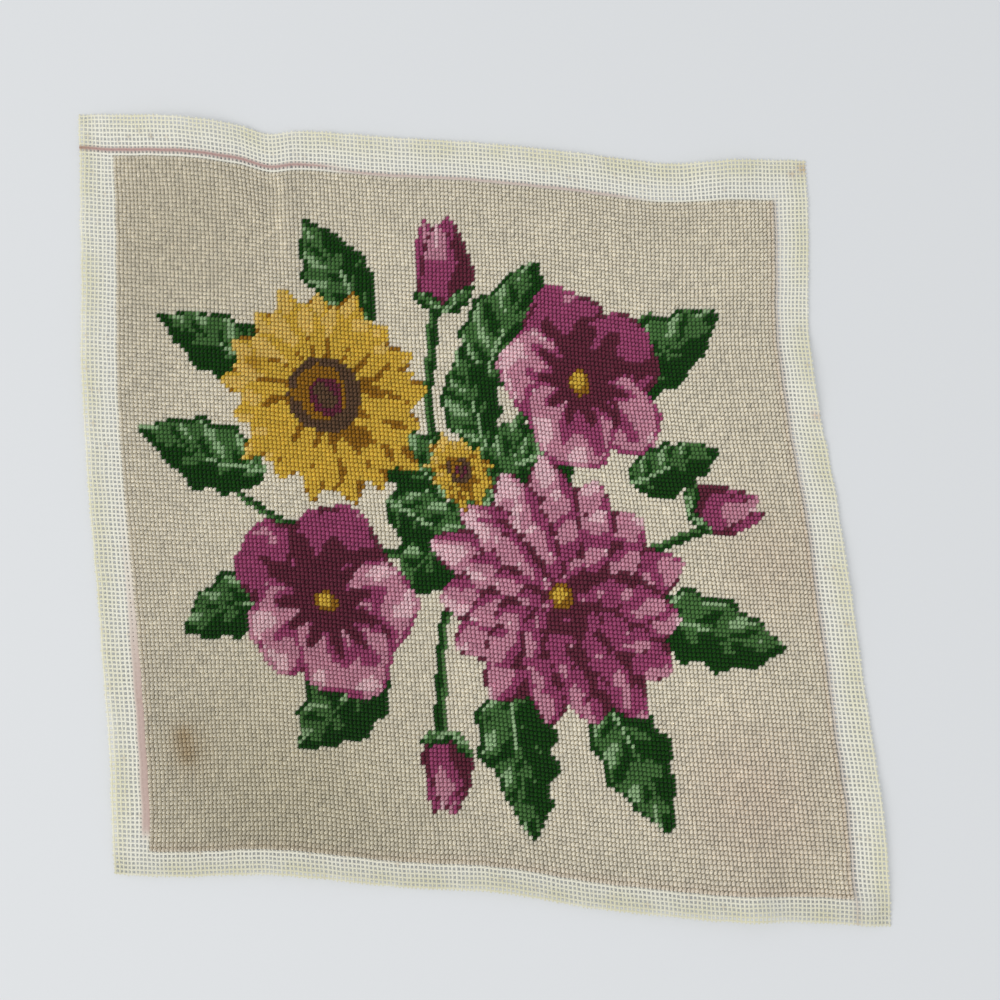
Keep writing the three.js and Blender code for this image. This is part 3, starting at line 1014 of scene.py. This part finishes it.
def slab(across, up, low, high):
    """A closed sheet over a grid of places: a lower skin, an upper skin and the rim between them.

    Returns the points, lower skin first, the triangles and the grid's places.
    """
    grid_up, grid_across = np.meshgrid(up, across, indexing="ij")
    lower = sheet_points(grid_across, grid_up, low).reshape(-1, 3)
    upper = sheet_points(grid_across, grid_up, high).reshape(-1, 3)
    wide = len(across)
    tall = len(up)
    skin = wide * tall
    index = np.arange(skin).reshape(tall, wide)
    a = index[:-1, :-1].ravel()
    b = index[:-1, 1:].ravel()
    c = index[1:, 1:].ravel()
    d = index[1:, :-1].ravel()
    under = np.concatenate([np.stack([a, c, b], axis=1), np.stack([a, d, c], axis=1)])
    over = skin + np.concatenate([np.stack([a, b, c], axis=1), np.stack([a, c, d], axis=1)])
    border = np.concatenate([index[0, :-1], index[:-1, -1], index[-1, :0:-1], index[:0:-1, 0]])
    beyond = np.roll(border, -1)
    rim_low = np.stack([border, beyond, skin + beyond], axis=1)
    rim_high = np.stack([border, skin + beyond, skin + border], axis=1)
    faces = np.concatenate([under, over, rim_low, rim_high])
    return np.concatenate([lower, upper]), faces, grid_across, grid_up


def joined(parts):
    """Several sets of points, triangles, colours and strand coordinates as one set."""
    points, triangles, colours, strands = zip(*parts)
    starts = np.cumsum([0] + [len(part) for part in points[:-1]])
    faces = [part + start for part, start in zip(triangles, starts)]
    return np.concatenate(points), np.concatenate(faces), np.concatenate(colours), np.concatenate(strands)


# The web under the stitches: its inset in threads, its cells, and its skins above the sheet's underside
WEB_INSET = 0.3
WEB_CELLS_ACROSS = 68
WEB_CELLS_UP = 64
WEB_LOW = 0.25
WEB_HIGH = 0.45

# The back of the stitches: its skins above the sheet's underside, and the painted shade that darkens its
# upper skin, the wool deep between the stitches
REVERSE_LOW = 0.03
REVERSE_HIGH = 0.85
DEEP_WOOL_PAINTED_SHADE = 0.42


def canvas_sheet(random):
    """The cut canvas: woven threads in the bare margins, and a thin web where the stitches hide it."""
    field_columns = np.arange(FIELD_LEFT, FIELD_RIGHT)
    field_rows = np.arange(FIELD_BOTTOM, FIELD_TOP)
    side_columns = np.concatenate([np.arange(FIELD_LEFT), np.arange(FIELD_RIGHT, COLUMNS)])
    end_rows = np.concatenate([np.arange(FIELD_BOTTOM), np.arange(FIELD_TOP, ROWS)])
    parts = [
        thread_run(side_columns, 0, ROWS, True, random),
        thread_run(field_columns, 0, FIELD_BOTTOM + TUCK, True, random),
        thread_run(field_columns, FIELD_TOP - TUCK, ROWS, True, random),
        thread_run(end_rows, 0, COLUMNS, False, random),
        thread_run(field_rows, 0, FIELD_LEFT + TUCK, False, random),
        thread_run(field_rows, FIELD_RIGHT - TUCK, COLUMNS, False, random),
    ]
    web_columns = np.linspace(FIELD_LEFT + WEB_INSET, FIELD_RIGHT - WEB_INSET, WEB_CELLS_ACROSS + 1)
    web_rows = np.linspace(FIELD_BOTTOM + WEB_INSET, FIELD_TOP - WEB_INSET, WEB_CELLS_UP + 1)
    points, faces, across, up = slab(web_columns * COLUMN_PITCH, web_rows * ROW_PITCH, WEB_LOW, WEB_HIGH)
    tint = np.tile(canvas_tint(across, up).reshape(-1, 3), (2, 1))
    parts.append((points, faces, tint, np.zeros_like(points)))
    return add_piece("canvas_mesh", *joined(parts))


def wool_reverse(dye):
    """The back of the stitches: a thin layer under them, each stitch's colour at its own place.

    Its upper skin is darkened by painted shade, because it only shows deep between the stitches.
    """
    columns = np.linspace(FIELD_LEFT, FIELD_RIGHT, FIELD_COLUMNS + 1)
    rows = np.linspace(FIELD_BOTTOM, FIELD_TOP, FIELD_ROWS + 1)
    points, faces, across, up = slab(columns * COLUMN_PITCH, rows * ROW_PITCH, REVERSE_LOW, REVERSE_HIGH)
    spread = np.pad(dye, ((0, 1), (0, 1), (0, 0)), mode="edge").reshape(-1, 3)
    # Painted shade: the upper skin, seen only deep between the stitches, gets a darker copy of the dye
    skins_with_painted_shade = np.concatenate([spread, DEEP_WOOL_PAINTED_SHADE * spread])
    strand = np.stack([across / COLUMN_PITCH, up / ROW_PITCH, 0 * up], axis=-1).reshape(-1, 3)
    return add_piece("wool_reverse", points, faces, skins_with_painted_shade, np.tile(strand, (2, 1)))


def node(tree, kind, settings=None, **links):
    """Adds a shader node, sets its properties and input values, and links its inputs; returns the node."""
    made = tree.nodes.new(kind)
    for key, value in (settings or {}).items():
        if isinstance(key, int) or key in made.inputs:
            made.inputs[key].default_value = value
        else:
            setattr(made, key, value)
    for key, source in links.items():
        socket = int(key.removeprefix("in_")) if key.startswith("in_") else key
        tree.links.new(source, made.inputs[socket])
    return made


def fresh_material(name):
    """An empty node material and its node tree."""
    material = bpy.data.materials.new(name)
    material.use_nodes = True
    material.node_tree.nodes.clear()
    return material, material.node_tree


def dye_and_strand(tree):
    """A piece's own dye, and its three strand coordinates."""
    dye = node(tree, "ShaderNodeAttribute", {"attribute_name": "dye"})
    strand = node(tree, "ShaderNodeAttribute", {"attribute_name": "strand"})
    split = node(tree, "ShaderNodeSeparateXYZ", in_0=strand.outputs["Vector"])
    return dye.outputs["Color"], split.outputs


def finish_yarn(tree, dye, relief, shades, grooves, looks):
    """Ends a material: its relief paints shade into the dye in the grooves and light on the ridges, and turns
    the light on its surface.
    """
    shade = node(tree, "ShaderNodeMapRange", shades, Value=relief)
    colour = node(tree, "ShaderNodeVectorMath", {"operation": "SCALE"}, in_0=dye, Scale=shade.outputs[0])
    normal = node(tree, "ShaderNodeBump", grooves, Height=relief)
    inputs = {"Base Color": colour.outputs[0], "Normal": normal.outputs[0]}
    surface = node(tree, "ShaderNodeBsdfPrincipled", looks, **inputs)
    node(tree, "ShaderNodeOutputMaterial", Surface=surface.outputs["BSDF"])


# Tapestry wool: width of a ply and depth of its groove in millimetres, lean of the plies along the strand,
# and their share of the relief. Real fuzz is finer: it is drawn coarse, in tufts to a millimetre, to show.
PLY_WIDTH = 0.5
PLY_DEPTH = 0.24
PLY_LEAN = 0.3
PLY_SHARE = 0.6
FUZZ_PER_MM = 2.6
FUZZ_DETAIL = 2.0
# Painted shade and light: the dye is darker in the plies' grooves and paler on their ridges
WOOL_PAINTED_SHADE = {"From Min": -0.4, "From Max": 1.4, "To Min": 0.72, "To Max": 1.28}
WOOL_GROOVES = {"Strength": 0.8, "Distance": PLY_DEPTH * MM}
WOOL_LOOKS = {"Roughness": 0.88, "Specular IOR Level": 0.1, "Sheen Weight": 0.06, "Sheen Roughness": 0.5}


def spun_wool(name):
    """Dyed tapestry wool, spun and plied: soft fuzzy sheen, with painted shade making the plies' slanting
    grooves a little darker.

    The plies are a sine wave across the strand that leans along it; each strand starts at its own phase.
    """
    material, tree = fresh_material(name)
    dye, strand = dye_and_strand(tree)
    place = node(tree, "ShaderNodeTexCoord")
    lean = node(tree, "ShaderNodeMath", {"operation": "MULTIPLY", 1: PLY_LEAN}, in_0=strand["X"])
    slanted = node(tree, "ShaderNodeMath", {"operation": "ADD"}, in_0=strand["Y"], in_1=lean.outputs[0])
    started = node(tree, "ShaderNodeMath", {"operation": "ADD"}, in_0=slanted.outputs[0], in_1=strand["Z"])
    by_width = {"operation": "MULTIPLY", 1: TURN / PLY_WIDTH}
    turns = node(tree, "ShaderNodeMath", by_width, in_0=started.outputs[0])
    plies = node(tree, "ShaderNodeMath", {"operation": "SINE"}, in_0=turns.outputs[0])
    tufts = {"Scale": FUZZ_PER_MM / MM, "Detail": FUZZ_DETAIL}
    fuzz = node(tree, "ShaderNodeTexNoise", tufts, Vector=place.outputs["Object"])
    mix = {"operation": "MULTIPLY_ADD", 1: PLY_SHARE}
    relief = node(tree, "ShaderNodeMath", mix, in_0=plies.outputs[0], in_2=fuzz.outputs["Fac"])
    finish_yarn(tree, dye, relief.outputs[0], WOOL_PAINTED_SHADE, WOOL_GROOVES, WOOL_LOOKS)
    return material


# Canvas cotton: length of one turn of its twist and depth of its groove in millimetres, its plies, and their
# share of the relief. Real lint is finer: it is drawn coarse, in specks to a millimetre, to show.
TWIST_LENGTH = 0.8
TWIST_DEPTH = 0.06
TWIST_PLIES = 3.0
TWIST_SHARE = 0.4
LINT_PER_MM = 3.0
LINT_DETAIL = 2.0
# Painted shade and light: the cotton is a little darker in the grooves of its twist and paler on their ridges
COTTON_PAINTED_SHADE = {"From Min": 0.0, "From Max": 1.0, "To Min": 0.93, "To Max": 1.03}
COTTON_GROOVES = {"Strength": 0.4, "Distance": TWIST_DEPTH * MM}
COTTON_LOOKS = {"Roughness": 0.8, "Specular IOR Level": 0.3}


def woven_cotton(name):
    """Bleached cotton thread stiffened with starch: matt, with the fine slant of its twist.

    The twist is a sine wave along the thread that goes round with the angle about it.
    """
    material, tree = fresh_material(name)
    dye, strand = dye_and_strand(tree)
    place = node(tree, "ShaderNodeTexCoord")
    by_length = {"operation": "MULTIPLY", 1: TURN / TWIST_LENGTH}
    run = node(tree, "ShaderNodeMath", by_length, in_0=strand["X"])
    by_ply = {"operation": "MULTIPLY_ADD", 1: TWIST_PLIES}
    phase = node(tree, "ShaderNodeMath", by_ply, in_0=strand["Y"], in_2=run.outputs[0])
    twist = node(tree, "ShaderNodeMath", {"operation": "SINE"}, in_0=phase.outputs[0])
    specks = {"Scale": LINT_PER_MM / MM, "Detail": LINT_DETAIL}
    lint = node(tree, "ShaderNodeTexNoise", specks, Vector=place.outputs["Object"])
    mix = {"operation": "MULTIPLY_ADD", 1: TWIST_SHARE}
    relief = node(tree, "ShaderNodeMath", mix, in_0=twist.outputs[0], in_2=lint.outputs["Fac"])
    finish_yarn(tree, dye, relief.outputs[0], COTTON_PAINTED_SHADE, COTTON_GROOVES, COTTON_LOOKS)
    return material


# Floats on the back: threads that a float leans for each row, and depth of the hollows in millimetres
FLOAT_LEAN = -0.5
FLOAT_DEPTH = 0.4
# Painted shade: the dye is darker in the hollows between the floats and the rows
BACK_PAINTED_SHADE = {"From Min": -2.0, "From Max": 2.0, "To Min": 0.6, "To Max": 1.05}
BACK_GROOVES = {"Strength": 0.8, "Distance": FLOAT_DEPTH * MM}
BACK_LOOKS = {"Roughness": 0.9, "Specular IOR Level": 0.2, "Sheen Weight": 0.2}


def felted_back(name):
    """The reverse of the stitching: long slanting floats of wool, pressed flat.

    A sine wave, one to a thread, leans across the rows, and a cosine wave, one to a row, is added to it.
    """
    material, tree = fresh_material(name)
    dye, strand = dye_and_strand(tree)
    lean = {"operation": "MULTIPLY_ADD", 1: FLOAT_LEAN}
    slanted = node(tree, "ShaderNodeMath", lean, in_0=strand["Y"], in_2=strand["X"])
    turns = node(tree, "ShaderNodeMath", {"operation": "MULTIPLY", 1: TURN}, in_0=slanted.outputs[0])
    floats = node(tree, "ShaderNodeMath", {"operation": "SINE"}, in_0=turns.outputs[0])
    row_turns = node(tree, "ShaderNodeMath", {"operation": "MULTIPLY", 1: TURN}, in_0=strand["Y"])
    rows = node(tree, "ShaderNodeMath", {"operation": "COSINE"}, in_0=row_turns.outputs[0])
    relief = node(tree, "ShaderNodeMath", {"operation": "ADD"}, in_0=floats.outputs[0], in_1=rows.outputs[0])
    finish_yarn(tree, dye, relief.outputs[0], BACK_PAINTED_SHADE, BACK_GROOVES, BACK_LOOKS)
    return material


# The cloth on the table: its colour as sRGB, and its looks
CLOTH_COLOUR = "e0e2e4"
CLOTH_LOOKS = {"Base Color": (*linear(CLOTH_COLOUR), 1), "Roughness": 0.95, "Specular IOR Level": 0.1}


def pale_cloth(name):
    """Plain woven cotton cloth on the table: pale, matt and a little cool."""
    material, tree = fresh_material(name)
    surface = node(tree, "ShaderNodeBsdfPrincipled", CLOTH_LOOKS)
    node(tree, "ShaderNodeOutputMaterial", Surface=surface.outputs["BSDF"])
    return material


# Start of the random numbers, so that each run gives the same panel
SEED = 41


def build_panel():
    """All pieces of the panel, with what they stand for and what they are made of."""
    random = np.random.default_rng(SEED)
    stitch_pieces, dye = wool_layer(flower_spray(), random)
    canvas = canvas_sheet(random)
    reverse = wool_reverse(dye)
    wool = spun_wool("tapestry_wool_plied")
    for piece in stitch_pieces:
        piece.data.materials.append(wool)
        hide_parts("wool_stitching")
    reverse.data.materials.append(felted_back("tapestry_wool_reverse"))
    canvas.data.materials.append(woven_cotton("cotton_canvas_starched"))
    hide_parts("canvas")


# The table, in metres: half its width, and its top, a hair below the panel
TABLE_HALF = 4.0
TABLE_TOP = -0.0004


def build_table():
    """A wide pale table under the panel."""
    corners = [
        (-TABLE_HALF, -TABLE_HALF, TABLE_TOP),
        (TABLE_HALF, -TABLE_HALF, TABLE_TOP),
        (TABLE_HALF, TABLE_HALF, TABLE_TOP),
        (-TABLE_HALF, TABLE_HALF, TABLE_TOP),
    ]
    mesh = bpy.data.meshes.new("table")
    mesh.from_pydata(corners, [], [(0, 1, 2, 3)])
    table = bpy.data.objects.new("table", mesh)
    bpy.context.scene.collection.objects.link(table)
    table.data.materials.append(pale_cloth("table_cloth_pale"))


# Daylight: a soft square window, in metres and watts, and a cool fill from all round
WINDOW_PLACE = (-3.0, -1.6, 3.4)
WINDOW_SIZE = 3.0
WINDOW_POWER = 110
WINDOW_COLOUR = "fffdf8"
FILL_COLOUR = "f2f4f7"
FILL_STRENGTH = 0.74

# The camera, in metres, with lens and sensor in millimetres
CAMERA_TARGET = (0.0177, 0.0038, 0)
CAMERA_DISTANCE = 0.6
CAMERA_ELEVATION = math.radians(85)
CAMERA_LENS = 36
CAMERA_SENSOR = 36
CAMERA_NEAR = 0.01


def aim(thing, target):
    """Turns a light or camera so that it looks at the target."""
    thing.rotation_euler = (Vector(target) - thing.location).to_track_quat("-Z", "Y").to_euler()


def add_window():
    """The square soft light, aimed at the panel."""
    light = bpy.data.lights.new("window", "AREA")
    light.size = WINDOW_SIZE
    light.energy = WINDOW_POWER
    light.color = linear(WINDOW_COLOUR)
    window = bpy.data.objects.new("window", light)
    window.location = WINDOW_PLACE
    bpy.context.scene.collection.objects.link(window)
    aim(window, (0, 0, 0))


def add_camera():
    """The camera, nearly overhead: at its distance from the target, turned up from the front."""
    camera = bpy.data.objects.new("camera", bpy.data.cameras.new("camera"))
    camera.data.lens = CAMERA_LENS
    camera.data.sensor_width = CAMERA_SENSOR
    camera.data.clip_start = CAMERA_NEAR
    back = Vector((0, -math.cos(CAMERA_ELEVATION), math.sin(CAMERA_ELEVATION)))
    camera.location = Vector(CAMERA_TARGET) + CAMERA_DISTANCE * back
    bpy.context.scene.collection.objects.link(camera)
    aim(camera, CAMERA_TARGET)
    bpy.context.scene.camera = camera


def build_studio():
    """Soft daylight from the left, a fill all round, and the camera nearly overhead."""
    scene = bpy.context.scene
    scene.view_settings.view_transform = "Standard"
    world = bpy.data.worlds.new("studio")
    world.use_nodes = True
    background = world.node_tree.nodes["Background"]
    background.inputs["Color"].default_value = (*linear(FILL_COLOUR), 1)
    background.inputs["Strength"].default_value = FILL_STRENGTH
    scene.world = world
    add_window()
    add_camera()


build_panel()
build_table()
build_studio()
